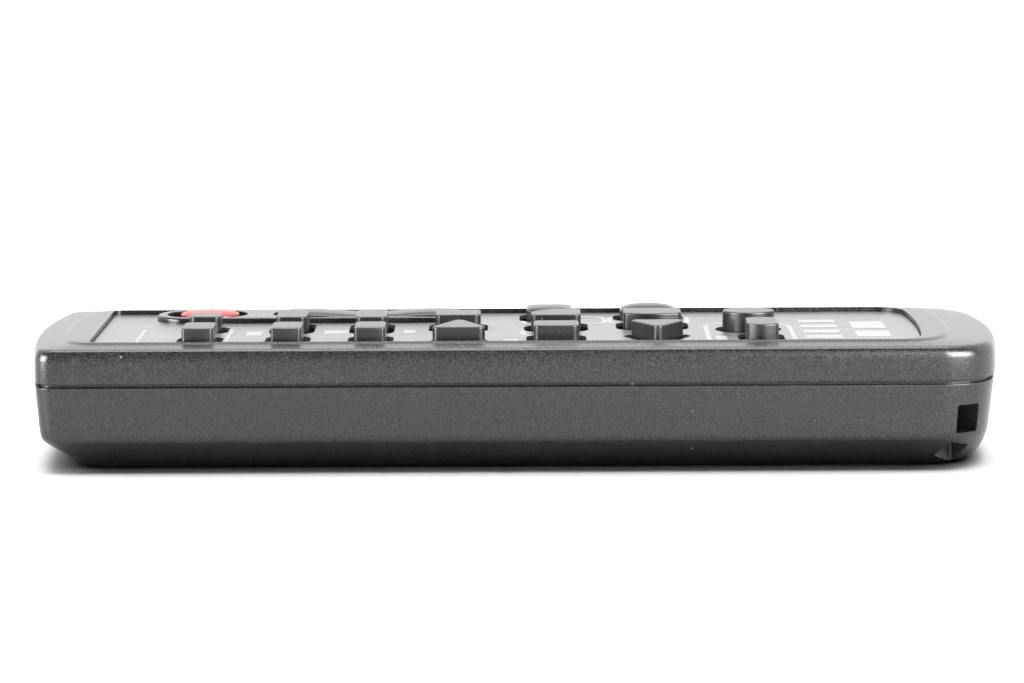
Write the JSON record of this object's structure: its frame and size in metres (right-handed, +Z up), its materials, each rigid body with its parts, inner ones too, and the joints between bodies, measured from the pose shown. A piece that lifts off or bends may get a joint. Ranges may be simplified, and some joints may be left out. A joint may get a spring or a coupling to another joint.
{
  "type": "handheld infrared remote control",
  "caption": "Slim two-shell handheld infrared remote with rubber keys, a guarded zoom rocker, a battery door underneath and a lanyard bar in one tail corner.",
  "frame": {"origin": "bottom centre of the case, on the surface it lies on", "axes": "+X from the head (infrared window) to the tail (lanyard bar), +Y away from the lanyard side, +Z up out of the keys"},
  "size_m": [0.1591, 0.047, 0.0236],
  "materials": {
    "case": "fine spark-eroded texture, charcoal",
    "plate": "satin silver-grey printed sheet",
    "key_rubber": "matt moulded silicone",
    "record_rubber": "red moulded silicone",
    "guard": "smooth moulded trim",
    "window": "polished, passes infrared",
    "board": "phenolic laminate",
    "lamp": "clear tinted resin",
    "chip": "moulded epoxy",
    "resonator": "dipped resin",
    "capacitor": "shrink sleeve on aluminium can",
    "cell": "printed jacket on steel can",
    "contact_steel": "nickel-plated spring steel",
    "screw_steel": "blackened steel"
  },
  "bodies": {
    "case": {"rear_shell": "case", "front_shell": "case", "face_plate": "plate", "key_guard": "guard", "ir_window": "window", "key_mat": "key_rubber", "circuit_board": "board", "emitter_a": "lamp", "emitter_b": "lamp", "controller_chip": "chip", "resonator": "resonator", "reservoir_capacitor": "capacitor", "driver_transistor": "chip", "cell_a": "cell", "cell_b": "cell", "contact_minus": "contact_steel", "contact_plus": "contact_steel", "contact_link": "contact_steel", "spring_a": "contact_steel", "spring_b": "contact_steel", "case_screw_1": "screw_steel", "case_screw_2": "screw_steel", "case_screw_3": "screw_steel", "case_screw_4": "screw_steel"},
    "key_a1_body": {"key_a1": "key_rubber"},
    "key_a2_body": {"key_a2": "key_rubber"},
    "key_a3_body": {"key_a3": "key_rubber"},
    "key_a4_body": {"key_a4": "key_rubber"},
    "key_a5_body": {"key_a5": "key_rubber"},
    "key_a6_body": {"key_a6": "key_rubber"},
    "key_a7_body": {"key_a7": "key_rubber"},
    "key_b1_body": {"key_b1": "key_rubber"},
    "key_b2_body": {"key_b2": "key_rubber"},
    "key_b3_body": {"key_b3": "key_rubber"},
    "key_b4_body": {"key_b4": "key_rubber"},
    "key_b5_body": {"key_b5": "key_rubber"},
    "key_b6_body": {"key_b6": "key_rubber"},
    "key_b7_body": {"key_b7": "key_rubber"},
    "key_c5_body": {"key_c5": "key_rubber"},
    "key_c6_body": {"key_c6": "key_rubber"},
    "record_key_body": {"record_key": "record_rubber"},
    "zoom_rocker_body": {"zoom_rocker": "key_rubber"},
    "battery_door_body": {"battery_door": "case"}
  },
  "joints": [
    {"name": "key_a1_press", "type": "slide", "parent": "case", "child": "key_a1_body", "axis": [0, 0, -1], "range_m": [0, 0.0008], "stiffness_N_per_m": 1200},
    {"name": "key_a2_press", "type": "slide", "parent": "case", "child": "key_a2_body", "axis": [0, 0, -1], "range_m": [0, 0.0008], "stiffness_N_per_m": 1200},
    {"name": "key_a3_press", "type": "slide", "parent": "case", "child": "key_a3_body", "axis": [0, 0, -1], "range_m": [0, 0.0008], "stiffness_N_per_m": 1200},
    {"name": "key_a4_press", "type": "slide", "parent": "case", "child": "key_a4_body", "axis": [0, 0, -1], "range_m": [0, 0.0008], "stiffness_N_per_m": 1200},
    {"name": "key_a5_press", "type": "slide", "parent": "case", "child": "key_a5_body", "axis": [0, 0, -1], "range_m": [0, 0.0008], "stiffness_N_per_m": 1200},
    {"name": "key_a6_press", "type": "slide", "parent": "case", "child": "key_a6_body", "axis": [0, 0, -1], "range_m": [0, 0.0008], "stiffness_N_per_m": 1200},
    {"name": "key_a7_press", "type": "slide", "parent": "case", "child": "key_a7_body", "axis": [0, 0, -1], "range_m": [0, 0.0008], "stiffness_N_per_m": 1200},
    {"name": "key_b1_press", "type": "slide", "parent": "case", "child": "key_b1_body", "axis": [0, 0, -1], "range_m": [0, 0.0008], "stiffness_N_per_m": 1200},
    {"name": "key_b2_press", "type": "slide", "parent": "case", "child": "key_b2_body", "axis": [0, 0, -1], "range_m": [0, 0.0008], "stiffness_N_per_m": 1200},
    {"name": "key_b3_press", "type": "slide", "parent": "case", "child": "key_b3_body", "axis": [0, 0, -1], "range_m": [0, 0.0008], "stiffness_N_per_m": 1200},
    {"name": "key_b4_press", "type": "slide", "parent": "case", "child": "key_b4_body", "axis": [0, 0, -1], "range_m": [0, 0.0008], "stiffness_N_per_m": 1200},
    {"name": "key_b5_press", "type": "slide", "parent": "case", "child": "key_b5_body", "axis": [0, 0, -1], "range_m": [0, 0.0008], "stiffness_N_per_m": 1200},
    {"name": "key_b6_press", "type": "slide", "parent": "case", "child": "key_b6_body", "axis": [0, 0, -1], "range_m": [0, 0.0008], "stiffness_N_per_m": 1200},
    {"name": "key_b7_press", "type": "slide", "parent": "case", "child": "key_b7_body", "axis": [0, 0, -1], "range_m": [0, 0.0008], "stiffness_N_per_m": 1200},
    {"name": "key_c5_press", "type": "slide", "parent": "case", "child": "key_c5_body", "axis": [0, 0, -1], "range_m": [0, 0.0008], "stiffness_N_per_m": 1200},
    {"name": "key_c6_press", "type": "slide", "parent": "case", "child": "key_c6_body", "axis": [0, 0, -1], "range_m": [0, 0.0008], "stiffness_N_per_m": 1200},
    {"name": "record_key_press", "type": "slide", "parent": "case", "child": "record_key_body", "axis": [0, 0, -1], "range_m": [0, 0.0008], "stiffness_N_per_m": 1200},
    {"name": "zoom_rock", "type": "hinge", "parent": "case", "child": "zoom_rocker_body", "pos_m": [-0.0242, 0.01265, 0.01595], "axis": [0, 1, 0], "range_deg": [-2.5, 2.5], "stiffness_Nm_per_rad": 0.6},
    {"name": "battery_door_hinge", "type": "hinge", "parent": "case", "child": "battery_door_body", "pos_m": [0.01, 0, 0], "axis": [0, 1, 0], "range_deg": [0, 70]}
  ]
}
